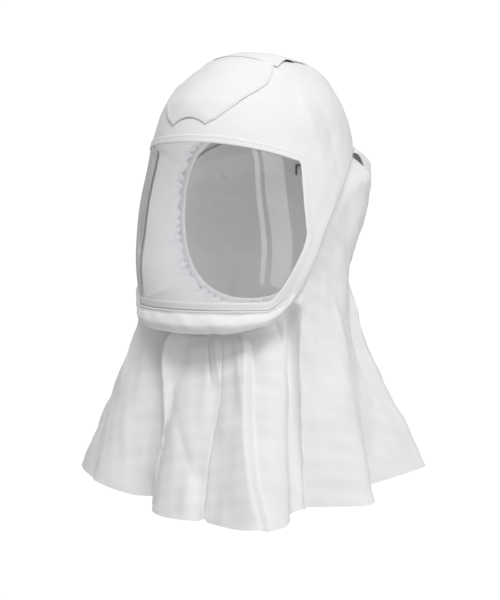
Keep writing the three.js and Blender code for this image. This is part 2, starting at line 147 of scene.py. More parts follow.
# Lower edge of the head cover: degrees from the front, and shares of its height
COVER_EDGE = table("angle height", [
    (0, 1.053),
    (44, 1.05),
    (52, 1.02),
    (62, 0.95),
    (69, 0.84),
    (76, 0.73),
    (88, 0.6),
    (100, 0.49),
    (112, 0.425),
    (130, 0.38),
    (180, 0.36),
])

# Widths of the yoke from under the band to the forehead, in shares of its length and half width
YOKE_SECTIONS = table("along width", [
    (0, 0.68),
    (0.2, 0.87),
    (0.42, 1),
    (0.77, 0.84),
    (0.94, 0.57),
    (1, 0.38),
])

# Folds of the shroud: neck and hem in shares of their radii, rise in shares of the hem's radius
SHROUD_FOLDS = table("angle neck hem rise swell", [
    (-172, 0.9, 0.86, 0.05, 0),
    (-160, 0.93, 1.0, 0.09, 0.1),
    (-148, 0.9, 0.83, 0.06, 0.6),
    (-134, 0.92, 0.99, 0.1, 0.9),
    (-120, 0.9, 0.82, 0.08, 0.8),
    (-106, 0.93, 0.97, 0.11, 0.3),
    (-92, 0.91, 0.84, 0.09, 0),
    (-76, 0.9, 0.98, 0.11, 0),
    (-58, 0.87, 1.0, 0.125, 0),
    (-40, 0.86, 0.93, 0.1, 0),
    (-24, 0.78, 0.81, 0.06, 0),
    (-13, 0.73, 0.7, 0.04, 0),
    (-6, 0.72, 0.8, -0.005, 0),
    (6, 0.71, 0.84, -0.005, 0),
    (15, 0.72, 0.82, -0.01, 0),
    (32, 0.76, 0.94, -0.015, 0),
    (46, 0.79, 0.88, -0.01, 0),
    (56, 0.79, 0.66, 0.02, 0),
    (66, 0.83, 0.73, 0.03, 0),
    (82, 0.83, 0.88, 0.035, 0),
    (97, 0.83, 0.7, 0.055, 0.15),
    (110, 0.82, 0.76, 0.06, 0.6),
    (126, 0.82, 1.03, 0.1, 1),
    (142, 0.84, 0.84, 0.07, 0.9),
    (156, 0.88, 0.98, 0.08, 0.25),
    (171, 0.9, 0.84, 0.05, 0),
])

# Profile of the chin roll: out in shares of its bulge or, where negative, of its tuck, down of its drop
CHIN_PROFILE = table("at out down", [
    (0, 0.16, 0),
    (0.14, 0.1, 0.14),
    (0.28, 0.62, 0.34),
    (0.46, 1.0, 0.6),
    (0.62, 0.7, 0.85),
    (0.74, 0.0, 1.0),
    (1, -1.0, 0.98),
])


def read(rows, key, column, at):
    """Smooth values of a column, by a key column, as the part's source reads them."""
    keys, values = rows[key], rows[column]
    last = len(keys) - 1
    i = np.clip(np.searchsorted(keys[1:], at, side="left"), 0, last - 1)
    before = np.maximum(i - 1, 0)
    after = np.minimum(i + 2, last)
    span = keys[i + 1] - keys[i]
    t = np.clip((at - keys[i]) / span, 0, 1)
    slope_from = (values[i + 1] - values[before]) / (keys[i + 1] - keys[before]) * span
    slope_to = (values[after] - values[i]) / (keys[after] - keys[i]) * span
    return (
        (2 * t**3 - 3 * t**2 + 1) * values[i]
        + (t**3 - 2 * t**2 + t) * slope_from
        + (3 * t**2 - 2 * t**3) * values[i + 1]
        + (t**3 - t**2) * slope_to
    )


def mix(a, b, t):
    return a + (b - a) * t


def smooth(low, high, value):
    """0 below low, 1 above high, and a smooth step between."""
    t = np.clip((value - low) / (high - low), 0, 1)
    return t * t * (3 - 2 * t)


def stack(x, y, z):
    return np.stack(np.broadcast_arrays(x, y, z), axis=-1)


CROWN_TOP = -HEAD_HEIGHT * HEAD_SECTIONS["height"][0]
HALVINGS = 40  # steps of the search for the crown's height


def head_section(z):
    share = -z / HEAD_HEIGHT
    half_width = read(HEAD_SECTIONS, "height", "width", share) * HEAD_HALF_WIDTH
    half_depth = read(HEAD_SECTIONS, "height", "depth", share) * HEAD_HALF_DEPTH
    middle = read(HEAD_SECTIONS, "height", "middle", share) * HEAD_HALF_DEPTH
    return half_width, half_depth, middle


def head_point(angle, z, offset=0.0):
    """Points of the head's form, at angles from the front in radians, pushed out by offset."""
    half_width, half_depth, middle = head_section(z)
    x = (half_width + offset) * np.sin(angle)
    y = middle - (half_depth + offset) * np.cos(angle)
    return stack(x, y, z)


def crown_height(x, y):
    """Height of the head's form above points of the plan."""
    x, y = np.broadcast_arrays(np.asarray(x, float), np.asarray(y, float))
    high = np.full(x.shape, float(CROWN_TOP))
    low = np.full(x.shape, float(-HEAD_HEIGHT))
    for _ in range(HALVINGS):
        z = (high + low) / 2
        half_width, half_depth, middle = head_section(z)
        across = x / np.maximum(half_width, 1e-6)
        along = (y - middle) / np.maximum(half_depth, 1e-6)
        inside = across**2 + along**2 < 1
        low = np.where(inside, z, low)
        high = np.where(inside, high, z)
    return (high + low) / 2


def cover_edge_height(degrees):
    return -HEAD_HEIGHT * read(COVER_EDGE, "angle", "height", np.abs(degrees))


# The origin lies inside the crown, so every piece is raised by this
RAISE = FABRIC - float(crown_height(0, 0))


def normals_of(points, closed):
    """Outward normals of a grid whose columns run to the wearer's left and rows down or back."""
    if closed:
        around = np.roll(points, -1, axis=1) - np.roll(points, 1, axis=1)
    else:
        around = np.gradient(points, axis=1)
    down = np.gradient(points, axis=0)
    normals = np.cross(down, around)
    length = np.linalg.norm(normals, axis=-1, keepdims=True)
    return normals / np.maximum(length, 1e-9)


def waves(points, wavelength, seed, count=9):
    """Soft random swell between about -1 and 1, the same on each run."""
    draw = np.random.default_rng(seed)
    total = np.zeros(points.shape[:-1])
    for _ in range(count):
        direction = draw.normal(size=points.shape[-1])
        direction /= np.linalg.norm(direction)
        length = wavelength * draw.uniform(0.7, 1.5)
        total += np.sin(points @ direction * (2 * math.pi / length) + draw.uniform(0, 2 * math.pi))
    return total / math.sqrt(count)


def folds(across, down, rows, sharpness=1.6):
    """Height of folds on a flat sheet, from rows of two places, a width and a rise each."""
    height = np.zeros(np.broadcast(across, down).shape)
    for x0, y0, x1, y1, width, rise in rows:
        run = (x1 - x0) ** 2 + (y1 - y0) ** 2
        along = np.clip(((across - x0) * (x1 - x0) + (down - y0) * (y1 - y0)) / run, 0, 1)
        distance = np.hypot(across - mix(x0, x1, along), down - mix(y0, y1, along))
        taper = np.sin(math.pi * (0.1 + 0.8 * along)) ** 0.7
        height = height + rise * taper * np.exp(-((distance / width) ** sharpness))
    return height


def add_object(name, verts, faces, material, sharp=0.7):
    """A mesh object from points in millimetres below the crown."""
    mesh = bpy.data.meshes.new(name)
    points = (np.asarray(verts) + (0, 0, RAISE)) * MM
    mesh.vertices.add(len(points))
    mesh.vertices.foreach_set("co", points.astype(np.float32).ravel())
    faces = np.asarray(faces, np.int32)
    mesh.loops.add(faces.size)
    mesh.loops.foreach_set("vertex_index", faces.ravel())
    mesh.polygons.add(len(faces))
    mesh.polygons.foreach_set("loop_start", np.arange(0, faces.size, faces.shape[1], dtype=np.int32))
    mesh.update(calc_edges=True)
    mesh.validate()
    mesh.shade_smooth()
    if sharp:
        mesh.set_sharp_from_angle(angle=sharp)
    mesh.materials.append(material)
    obj = bpy.data.objects.new(name, mesh)
    bpy.context.scene.collection.objects.link(obj)
    return obj


def stands_for(obj, node):
    """Puts a piece on the fixed frame in place of one of its nodes."""
    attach(obj, "root")
    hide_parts(node)
    return obj


def shell(outer, inner, closed, keep=None):
    """Points and faces of a closed wall between two grids. keep says which cells it has."""
    rows, columns = outer.shape[:2]
    count = rows * columns
    wide = columns if closed else columns - 1
    j, i = np.mgrid[0:rows - 1, 0:wide]
    nxt = (i + 1) % columns
    here, below = j * columns, (j + 1) * columns
    cells = np.stack([here + i, below + i, below + nxt, here + nxt], axis=-1)
    cells = cells.reshape(-1, 4) if keep is None else cells[keep[:, :wide]]
    edges = np.concatenate([cells[:, [k, (k + 1) % 4]] for k in range(4)])
    forward = edges[:, 0] * count + edges[:, 1]
    backward = edges[:, 1] * count + edges[:, 0]
    rim = edges[~np.isin(forward, backward)]
    rim_faces = np.stack([rim[:, 1], rim[:, 0], rim[:, 0] + count, rim[:, 1] + count], axis=-1)
    verts = np.concatenate([outer.reshape(-1, 3), inner.reshape(-1, 3)])
    faces = np.concatenate([cells, cells[:, ::-1] + count, rim_faces])
    used = np.unique(faces)
    renumber = np.zeros(len(verts), int)
    renumber[used] = np.arange(len(used))
    return verts[used], renumber[faces]


def cloth_piece(name, points, closed, material, thickness, height=None, keep=None):
    """A cloth wall whose outer face is a grid of points, raised along its normals by height."""
    normals = normals_of(points, closed)
    if height is not None:
        points = points + normals * height[..., None]
        normals = normals_of(points, closed)
    verts, faces = shell(points, points - normals * thickness, closed, keep)
    return add_object(name, verts, faces, material)


def ring_faces(rings, sides, closed):
    """Faces between rings of points, each ring to the next."""
    j, i = np.mgrid[0:rings if closed else rings - 1, 0:sides]
    here, down = j * sides, (j + 1) % rings * sides
    nxt = (i + 1) % sides
    return np.stack([here + i, here + nxt, down + nxt, down + i], axis=-1).reshape(-1, 4)


def tube_between(path, radius, sides):
    """Points and faces of a thin tube along a path, with a radius for each of its points."""
    path = np.asarray(path, float)
    along = np.gradient(path, axis=0)
    along /= np.maximum(np.linalg.norm(along, axis=1, keepdims=True), 1e-9)
    side = np.cross(along, (0.0, 0.3, 1.0))
    side /= np.maximum(np.linalg.norm(side, axis=1, keepdims=True), 1e-9)
    up = np.cross(side, along)
    turn = np.linspace(0, 2 * math.pi, sides, endpoint=False)
    radius = np.broadcast_to(radius, len(path))[:, None, None]
    ring = side[:, None] * np.cos(turn)[None, :, None] + up[:, None] * np.sin(turn)[None, :, None]
    grid = path[:, None] + ring * radius
    return grid.reshape(-1, 3), ring_faces(len(path), sides, False)


STITCH_LENGTH = 3.2
STITCH_GAP = 1.3
STITCH_RADIUS = 0.32
STITCH_SIDES = 6


def stitches(name, path, normals, material, sink=0.12, closed=False):
    """A row of small stitches along a path on the cloth."""
    path = np.asarray(path, float)
    if closed:
        path = np.vstack([path, path[:1]])
        normals = np.vstack([normals, normals[:1]])
    steps = np.linalg.norm(np.diff(path, axis=0), axis=1)
    run = np.concatenate([[0], np.cumsum(steps)])
    starts = np.arange(0, run[-1] - STITCH_LENGTH, STITCH_LENGTH + STITCH_GAP)
    shape = np.linspace(0, 1, 5)
    swell = np.sqrt(np.clip(1 - (2 * shape - 1) ** 4, 0.05, 1)) * STITCH_RADIUS
    all_verts, all_faces, total = [], [], 0
    for start in starts:
        at = start + shape * STITCH_LENGTH
        line = np.stack([np.interp(at, run, path[:, k]) for k in range(3)], axis=-1)
        out = np.stack([np.interp(at, run, normals[:, k]) for k in range(3)], axis=-1)
        rise = (np.sin(math.pi * shape) * STITCH_RADIUS - sink)[:, None]
        verts, faces = tube_between(line + out * rise, swell, STITCH_SIDES)
        last = len(verts)
        ends = [list(range(STITCH_SIDES))[::-1], list(range(last - STITCH_SIDES, last))]
        caps = np.array([[e[k] for k in half] for half in ((0, 1, 2, 3), (0, 3, 4, 5)) for e in ends])
        all_verts.append(verts)
        all_faces.append(np.concatenate([faces, caps]) + total)
        total += len(verts)
    return add_object(name, np.concatenate(all_verts), np.concatenate(all_faces), material, sharp=None)


def bezier(p0, p1, p2, p3=None, steps=40):
    t = np.linspace(0, 1, steps, endpoint=False)[:, None]
    p0, p1, p2 = (np.array(p, float) for p in (p0, p1, p2))
    if p3 is None:
        return (1 - t) ** 2 * p0 + 2 * t * (1 - t) * p1 + t**2 * p2
    s = 1 - t
    return s**3 * p0 + 3 * t * s**2 * p1 + 3 * t**2 * s * p2 + t**3 * np.array(p3, float)


def line(p0, p1, steps=40):
    t = np.linspace(0, 1, steps, endpoint=False)[:, None]
    return mix(np.array(p0, float), np.array(p1, float), t)


def even_loop(points, count):
    """A closed outline stepped evenly along its length, with the given number of points."""
    closed = np.vstack([points, points[:1]])
    run = np.concatenate([[0], np.cumsum(np.linalg.norm(np.diff(closed, axis=0), axis=1))])
    at = np.linspace(0, run[-1], count, endpoint=False)
    return np.stack([np.interp(at, run, closed[:, k]) for k in range(2)], axis=-1)


def window_outline(grow, count):
    """The window's outline laid flat, from the middle of its lower edge towards the wearer's left."""
    top = WINDOW_TOP + grow
    right_corner = top - WINDOW_RIGHT_DIP
    left_corner = top - WINDOW_LEFT_DIP
    bottom = WINDOW_BOTTOM - grow
    top_half = WINDOW_TOP_HALF + grow
    side = WINDOW_SIDE_HALF + grow
    corner = WINDOW_CORNER + grow
    shoulder = WINDOW_BOTTOM + WINDOW_TAPER
    turn = 0.2 * WINDOW_TAPER
    low = WINDOW_BOTTOM_HALF
    far = top_half - corner
    return even_loop(np.concatenate([
        line((0, bottom), (low, bottom)),
        bezier((low, bottom), (low + turn + grow, bottom), (side, shoulder - turn), (side, shoulder)),
        line((side, shoulder), (top_half, left_corner - corner)),
        bezier((top_half, left_corner - corner), (top_half, left_corner), (far, left_corner)),
        bezier((far, left_corner), (WINDOW_TOP_HALF / 2, top), (0, top)),
        bezier((0, top), (-WINDOW_TOP_HALF / 2, top), (-far, right_corner)),
        bezier((-far, right_corner), (-top_half, right_corner), (-top_half, right_corner - corner)),
        line((-top_half, right_corner - corner), (-side, shoulder)),
        bezier((-side, shoulder), (-side, shoulder - turn), (-low - turn - grow, bottom), (-low, bottom)),
        line((-low, bottom), (0, bottom)),
    ]), count)


def face_outline(grow, count):
    """The face opening seen from the front, stepped the same way round as the window."""
    half = FACE_HALF_WIDTH + grow
    top = FACE_TOP + grow
    bottom = FACE_BOTTOM - grow
    low = mix(bottom, FACE_WIDE, 0.3)
    high = mix(top, FACE_WIDE, 0.35)
    return even_loop(np.concatenate([
        bezier((0, bottom), (0.62 * half, bottom), (half, low), (half, FACE_WIDE)),
        bezier((half, FACE_WIDE), (half, high), (0.7 * half, top), (0, top)),
        bezier((0, top), (-0.7 * half, top), (-half, high), (-half, FACE_WIDE)),
        bezier((-half, FACE_WIDE), (-half, low), (-0.62 * half, bottom), (0, bottom)),
    ]), count)


def wrapped(flat, offset=0.0):
    """Points of a flat pattern laid round the head's form."""
    return head_point(flat[..., 0] / WRAP_RADIUS, flat[..., 1], offset)


def inside_outline(flat, outline):
    """Which flat points lie inside a closed outline, and how far all of them are from it."""
    x, y = flat[..., 0].ravel(), flat[..., 1].ravel()
    inside = np.zeros(len(x), bool)
    nearest = np.full(len(x), 1e9)
    place = np.zeros((len(x), 2))
    for (x0, y0), (x1, y1) in zip(outline, np.roll(outline, -1, axis=0)):
        crosses = (y0 > y) != (y1 > y)
        if y0 != y1:
            inside ^= crosses & (x < x0 + (y - y0) / (y1 - y0) * (x1 - x0))
        run = max((x1 - x0) ** 2 + (y1 - y0) ** 2, 1e-12)
        t = np.clip(((x - x0) * (x1 - x0) + (y - y0) * (y1 - y0)) / run, 0, 1)
        px, py = x0 + t * (x1 - x0), y0 + t * (y1 - y0)
        distance = np.hypot(x - px, y - py)
        closer = distance < nearest
        nearest[closer] = distance[closer]
        place[closer] = np.stack([px, py], axis=-1)[closer]
    shape = flat.shape[:-1]
    return inside.reshape(shape), nearest.reshape(shape), place.reshape(flat.shape)


def new_material(name, color, roughness):
    """A principled material with its nodes and links at hand."""
    material = bpy.data.materials.new(name)
    material.use_nodes = True
    nodes = material.node_tree.nodes
    shader = nodes["Principled BSDF"]
    shader.inputs["Base Color"].default_value = (*color, 1)
    shader.inputs["Roughness"].default_value = roughness
    return material, nodes, material.node_tree.links, shader


def noise_node(nodes, links, scale, detail, stretch=None):
    """A noise texture in the object's own space."""
    coords = nodes.new("ShaderNodeTexCoord")
    noise = nodes.new("ShaderNodeTexNoise")
    noise.inputs["Scale"].default_value = scale
    noise.inputs["Detail"].default_value = detail
    if stretch is None:
        links.new(coords.outputs["Object"], noise.inputs["Vector"])
    else:
        mapping = nodes.new("ShaderNodeMapping")
        mapping.inputs["Scale"].default_value = stretch
        links.new(coords.outputs["Object"], mapping.inputs["Vector"])
        links.new(mapping.outputs["Vector"], noise.inputs["Vector"])
    return noise


def cloth_material(name, color, shade, fibre=0.12, wrinkle=0.25, sheen=0.1):
    """Non-woven cloth: fine fibres, small wrinkles and a slightly uneven colour."""
    material, nodes, links, shader = new_material(name, color, 0.82)
    shader.inputs["Sheen Weight"].default_value = sheen
    shader.inputs["Sheen Roughness"].default_value = 0.5
    shader.inputs["Specular IOR Level"].default_value = 0.25
    cloud = noise_node(nodes, links, 14, 3)
    ramp = nodes.new("ShaderNodeValToRGB")
    ramp.color_ramp.elements[0].position = 0.3
    ramp.color_ramp.elements[0].color = (*shade, 1)
    ramp.color_ramp.elements[1].position = 0.7
    ramp.color_ramp.elements[1].color = (*color, 1)
    links.new(cloud.outputs["Fac"], ramp.inputs["Fac"])
    links.new(ramp.outputs["Color"], shader.inputs["Base Color"])
    fibres = noise_node(nodes, links, 1500, 2)
    fibre_bump = nodes.new("ShaderNodeBump")
    fibre_bump.inputs["Strength"].default_value = fibre
    fibre_bump.inputs["Distance"].default_value = 0.0003
    links.new(fibres.outputs["Fac"], fibre_bump.inputs["Height"])
    wrinkles = noise_node(nodes, links, 45, 4)
    wrinkle_bump = nodes.new("ShaderNodeBump")
    wrinkle_bump.inputs["Strength"].default_value = wrinkle
    wrinkle_bump.inputs["Distance"].default_value = 0.0015
    links.new(wrinkles.outputs["Fac"], wrinkle_bump.inputs["Height"])
    links.new(fibre_bump.outputs["Normal"], wrinkle_bump.inputs["Normal"])
    links.new(wrinkle_bump.outputs["Normal"], shader.inputs["Normal"])
    return material


def lens_material():
    """Thin clear sheet: see-through with a faint grey tint and a sharp gloss."""
    material, nodes, links, shader = new_material("window_sheet", (0.99, 0.99, 1.0), 0.03)
    shader.inputs["Transmission Weight"].default_value = 1
    shader.inputs["IOR"].default_value = 1.5
    smear = noise_node(nodes, links, 8, 2)
    bump = nodes.new("ShaderNodeBump")
    bump.inputs["Strength"].default_value = 0.05
    bump.inputs["Distance"].default_value = 0.001
    links.new(smear.outputs["Fac"], bump.inputs["Height"])
    links.new(bump.outputs["Normal"], shader.inputs["Normal"])
    return material


def plastic_material():
    """Moulded dark plastic with a fine spark-eroded grain."""
    material, nodes, links, shader = new_material("inlet_plastic", (0.045, 0.048, 0.052), 0.5)
    grain = noise_node(nodes, links, 1800, 2)
    bump = nodes.new("ShaderNodeBump")
    bump.inputs["Strength"].default_value = 0.15
    bump.inputs["Distance"].default_value = 0.0002
    links.new(grain.outputs["Fac"], bump.inputs["Height"])
    links.new(bump.outputs["Normal"], shader.inputs["Normal"])
    mottle = noise_node(nodes, links, 60, 3)
    spread = nodes.new("ShaderNodeMapRange")
    spread.inputs["To Min"].default_value = 0.42
    spread.inputs["To Max"].default_value = 0.6
    links.new(mottle.outputs["Fac"], spread.inputs["Value"])
    links.new(spread.outputs["Result"], shader.inputs["Roughness"])
    return material


CLOTH = cloth_material("hood_cloth", (0.81, 0.81, 0.8), (0.78, 0.78, 0.77))
# Painted light: the face cloth and its casing are whiter than the hood's cloth, a lift that stands in for
# light inside the shaded hood
BRIGHTENED_LINER = cloth_material("liner_cloth", (0.92, 0.92, 0.93), (0.88, 0.88, 0.89), wrinkle=0.4)
THREAD = cloth_material("thread", (0.78, 0.78, 0.77), (0.72, 0.72, 0.71), wrinkle=0.0)
LENS = lens_material()
PLASTIC = plastic_material()

# Folds of the head cover: degrees towards the wearer's left and heights for both ends, then a width and a rise
COVER_FOLDS = [
    (70, -60, 78, -150, 9, 2.0),
    (84, -70, 92, -170, 10, -1.6),
    (-70, -70, -78, -150, 10, 1.6),
    (150, -60, 160, -100, 12, 1.5),
]


COVER_DEGREE = 2.4  # millimetres along the cover


def laid_flat(rows, degree):
    """Rows of folds with their degrees turned into millimetres."""
    return [(a * degree, b, c * degree, d, width, rise) for a, b, c, d, width, rise in rows]


def corners_of(cells):
    """Which points of a closed grid are corners of the chosen cells."""
    rows, columns = cells.shape[0] + 1, cells.shape[1]
    points = np.zeros((rows, columns), bool)
    for down, over in ((0, 0), (1, 0), (0, 1), (1, 1)):
        part = np.zeros((rows, columns), bool)
        part[down:rows - 1 + down] = cells
        points |= np.roll(part, over, axis=1)
    return points


def make_cover():
    columns, rows = 288, 120
    angle = np.linspace(-math.pi, math.pi, columns, endpoint=False)
    degrees = np.degrees(angle)
    v = np.linspace(0, 1, rows)[:, None] ** 1.35
    z = mix(CROWN_TOP, cover_edge_height(degrees)[None, :], v)
    flat = stack(np.broadcast_to(angle * WRAP_RADIUS, z.shape), z, z)[..., :2]
    outline = window_outline(0.4, 700)
    inside, distance, place = inside_outline(flat, outline)
    pairs = inside * 1 + np.roll(inside, -1, axis=1)
    keep = pairs[:-1] + pairs[1:] < 2
    border = corners_of(keep) & corners_of(~keep)
    flat = np.where(border[..., None], place, flat)
    points = wrapped(flat)
    fade = smooth(2, 26, np.where(inside, 0, distance))
    height = 0.7 * waves(points, 70, 1) + 0.3 * waves(points, 28, 2)
    across = np.broadcast_to(degrees * COVER_DEGREE, z.shape)
    height += folds(across, z, laid_flat(COVER_FOLDS, COVER_DEGREE))
    height *= fade * smooth(0, 12, z - cover_edge_height(degrees)[None, :] + 2)
    cover = cloth_piece("cover", points, True, CLOTH, FABRIC, height, keep)
    return stands_for(cover, "hood_cover")


def make_lens():
    columns, rows = 120, 60
    outline = window_outline(-LENS_CLEARANCE, 600)
    half = np.abs(outline[:, 0]).max() - 0.3
    strips = []
    for x in np.linspace(-half, half, columns):
        crossing = []
        for (x0, y0), (x1, y1) in zip(outline, np.roll(outline, -1, axis=0)):
            if (x0 - x) * (x1 - x) <= 0 and x0 != x1:
                crossing.append(y0 + (x - x0) / (x1 - x0) * (y1 - y0))
        low, high = min(crossing), max(crossing)
        strips.append(np.stack([np.full(rows, x), np.linspace(high, low, rows)], axis=-1))
    flat = np.stack(strips, axis=1)
    points = wrapped(flat, -(FABRIC - LENS_THICKNESS) / 2)
    lens = cloth_piece("window", points, False, LENS, LENS_THICKNESS)
    return stands_for(lens, "lens")


HEM_LAP = 1.5  # over the window
HEM_SEAM = 0.62  # how far out along the binding its stitches run
SEAM_DEPTH = 0.35
PUCKERS = 230


def make_hem():
    count = 900
    across = np.linspace(0, 1, 13)
    inner = window_outline(-HEM_LAP, count)
    outer = window_outline(HEM_WIDTH, count)
    flat = mix(inner[None], outer[None], across[:, None, None])
    bulge = np.sqrt(np.clip(1 - (2 * across - 1) ** 6, 0, 1))
    groove = SEAM_DEPTH * np.exp(-(((across - HEM_SEAM) * HEM_WIDTH / 0.7) ** 2))
    pucker = 0.12 * np.sin(np.arange(count) * 2 * math.pi * PUCKERS / count)
    near_seam = np.exp(-(((across - HEM_SEAM) * 3) ** 2))
    offset = PIECE_GAP * 0.5 + HEM_THICKNESS * bulge[:, None] - groove[:, None]
    offset = offset + pucker[None] * near_seam[:, None]
    top = wrapped(flat, offset)
    bottom = wrapped(flat, PIECE_GAP * 0.25 + 0 * offset)
    verts, faces = shell(top[::-1], bottom[::-1], True)
    hem = add_object("window_binding", verts, faces, CLOTH)
    stands_for(hem, "window_hem")
    seam = mix(inner, outer, HEM_SEAM)
    row = wrapped(seam, PIECE_GAP * 0.5 + HEM_THICKNESS - SEAM_DEPTH)
    angle = seam[:, 0] / WRAP_RADIUS
    out = stack(np.sin(angle), -np.cos(angle), 0 * angle)
    thread = stitches("window_stitches", row, out, THREAD, closed=True)
    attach(thread, "root")
    return hem


def make_yoke():
    u = np.linspace(-1, 1, 61)[None, :]
    v = np.linspace(0, 1, 81)[:, None]
    x = RIDGE_SHIFT * (1 - v) + u * YOKE_HALF * read(YOKE_SECTIONS, "along", "width", v)
    y = mix(YOKE_BACK, YOKE_FRONT, v) + 0 * x
    points = stack(x, y, crown_height(x, y))
    edge = np.minimum(1 - np.abs(u), (1 - v) * 2.2)
    roll = 0.8 * np.exp(-(((edge - 0.05) / 0.06) ** 2)) - 1.2 * np.exp(-((edge / 0.03) ** 2))
    height = YOKE_LIFT + YOKE_THICKNESS + roll + 0.35 * waves(points, 34, 5)
    normals = normals_of(points, False)
    if normals[40, 30, 2] < 0:
        normals = -normals
    top = points + normals * height[..., None]
    bottom = points + normals * 0.6
    verts, faces = shell(top, bottom, False)
    yoke = add_object("yoke", verts, faces, CLOTH)
    return stands_for(yoke, "yoke_panel")


def make_ridge():
    u = np.linspace(-1, 1, 61)[None, :]
    v = np.linspace(0, 1, 81)[:, None]
    x = RIDGE_SHIFT * (1 - v) + u * mix(RIDGE_HALF, RIDGE_BACK_HALF, v)
    y = mix(RIDGE_FRONT + RIDGE_ROUND * np.abs(u) ** 2.2, RIDGE_BACK, v)
    full = np.sqrt(np.clip(1 - np.abs(u) ** 3, 0, 1)) * (1 - v**3) * smooth(0, 0.3, v)
    over_yoke = YOKE_LIFT + YOKE_THICKNESS - PIECE_GAP
    lift = RIDGE_GAP + over_yoke * (1 - smooth(0.2, 0.45, v)) + RIDGE_RISE * full
    points = stack(x, y, crown_height(x, y) + lift)
    height = 0.4 * waves(points, 40, 7)
    top = points + stack(0 * x, 0 * x, FABRIC * 0.6 + height)
    verts, faces = shell(top[::-1], points[::-1], False)
    ridge = add_object("crown_band", verts, faces, CLOTH)
    return stands_for(ridge, "crown_ridge")


def chin_fullness(degrees):
    return np.clip(1 - np.abs(degrees / CHIN_SPAN) ** 2.6, 0, None)


def chin_top_line(degrees):
    past = np.clip(np.abs(degrees) - CHIN_LIFT_FROM, 0, None) / (CHIN_SPAN - CHIN_LIFT_FROM)
    return CHIN_TOP + CHIN_LIFT * past**1.6


def chin_low_line(degrees):
    return chin_top_line(degrees) - CHIN_DROP * mix(CHIN_END_SHARE, 1, chin_fullness(degrees))


def make_chin():
    degrees = np.linspace(-CHIN_SPAN, CHIN_SPAN, 221)[None, :]
    v = np.linspace(0, 1, 61)[:, None]
    full = chin_fullness(degrees)
    out = read(CHIN_PROFILE, "at", "out", v)
    down = read(CHIN_PROFILE, "at", "down", v)
    high, low = chin_top_line(degrees), chin_low_line(degrees)
    push = np.where(out > 0, out * CHIN_BULGE * (0.3 + 0.7 * full), out * CHIN_TUCK * full)
    z = high + down * (low - high)
    points = head_point(np.radians(degrees) + 0 * z, z, PIECE_GAP + FABRIC + push)
    height = 0.8 * waves(points, 45, 11) + 0.4 * waves(points, 18, 12)
    height *= smooth(0, 0.2, v) * smooth(0, 0.08, 1 - np.abs(degrees / CHIN_SPAN))
    chin = cloth_piece("chin_pad", points, False, CLOTH, FABRIC, height)
    return stands_for(chin, "chin_roll")


SEAL_GATHERS = 54
CASING_GATHERS = 108


def make_seal():
    columns, rows = 420, 48
    start = wrapped(window_outline(SEAL_OVERLAP, columns), -SEAL_INSET)
    inner = face_outline(ELASTIC_WIDTH, columns)
    end = stack(inner[:, 0], FACE_PLANE, inner[:, 1])
    v = np.linspace(0, 1, rows)[:, None, None]
    points = mix(start[None], end[None], v)
    points[..., 1] += SEAL_SLACK * np.sin(v[..., 0] * math.pi)
    u = np.arange(columns)[None, :] / columns
    v = v[..., 0]
    turn = 2 * math.pi * u
    gather = np.sin(SEAL_GATHERS * turn + 2.2 * np.sin(5 * turn) + 1.5 * np.sin(13 * turn))
    height = 2.4 * gather * smooth(0.55, 1, v) + 2.2 * waves(points, 90, 21) * np.sin(math.pi * v)
    height += 0.8 * waves(points, 30, 22) * np.sin(math.pi * v)
    seal = cloth_piece("face_cloth", points, True, BRIGHTENED_LINER, FABRIC * 0.5, height)
    return stands_for(seal, "face_seal")


def make_elastic():
    columns, sides = 640, 14
    u = np.arange(columns) / columns
    ruffle = np.sin(2 * math.pi * CASING_GATHERS * u + 1.2 * np.sin(2 * math.pi * 9 * u))
    inner = face_outline(0, columns)
    outer = face_outline(ELASTIC_WIDTH - PIECE_GAP, columns)
    turn = np.linspace(0, 2 * math.pi, sides, endpoint=False)
    grid = np.zeros((columns, sides, 3))
    for k, t in enumerate(turn):
        across = 0.5 - 0.5 * np.cos(t)
        edge = mix(inner, outer, across)
        thick = 0.5 * ELASTIC_THICKNESS * np.sin(t) * (1 + 0.25 * ruffle) + 0.5 * ruffle
        grid[:, k] = stack(edge[:, 0], FACE_PLANE - ELASTIC_SEAT + thick, edge[:, 1])
    faces = ring_faces(columns, sides, True)
    elastic = add_object("face_casing", grid.reshape(-1, 3), faces[:, ::-1], BRIGHTENED_LINER)
    return stands_for(elastic, "face_elastic")


def spline(points, spans):
    """A smooth line through four points for each column. spans runs from 0 to 3."""
    points = [2 * points[0] - points[1], *points, 2 * points[3] - points[2]]
    i = int(min(spans, 2.999))
    t = spans - i
    p0, p1, p2, p3 = points[i:i + 4]
    d0, d1, d2 = (
        np.sqrt(np.linalg.norm(b - a, axis=-1, keepdims=True)) for a, b in ((p0, p1), (p1, p2), (p2, p3))
    )
    t1 = ((p1 - p0) / d0 - (p2 - p0) / (d0 + d1) + (p2 - p1) / d1) * d1
    t2 = ((p2 - p1) / d1 - (p3 - p1) / (d1 + d2) + (p3 - p2) / d2) * d1
    return p1 + t1 * t + (3 * (p2 - p1) - 2 * t1 - t2) * t**2 + (2 * (p1 - p2) + t1 + t2) * t**3


FOLD_ROWS = {
    name: np.concatenate([values[-2:], values, values[:2]]) for name, values in SHROUD_FOLDS.items()
}
FOLD_ROWS["angle"] = np.concatenate(
    [SHROUD_FOLDS["angle"][-2:] - 360, SHROUD_FOLDS["angle"], SHROUD_FOLDS["angle"][:2] + 360]
)


def shroud_edge_point(degrees, lift):
    """Points just inside the lower edge of the cover or the chin roll, raised by lift."""
    low = np.where(np.abs(degrees) < CHIN_SPAN, chin_low_line(degrees), cover_edge_height(degrees))
    inset = SHROUD_INSET + CHIN_TUCK * chin_fullness(degrees)
    return head_point(np.radians(degrees), low + lift, -inset)


def ring_point(degrees, radius, z):
    angle = np.radians(degrees)
    return stack(radius * np.sin(angle), -radius * np.cos(angle), z)


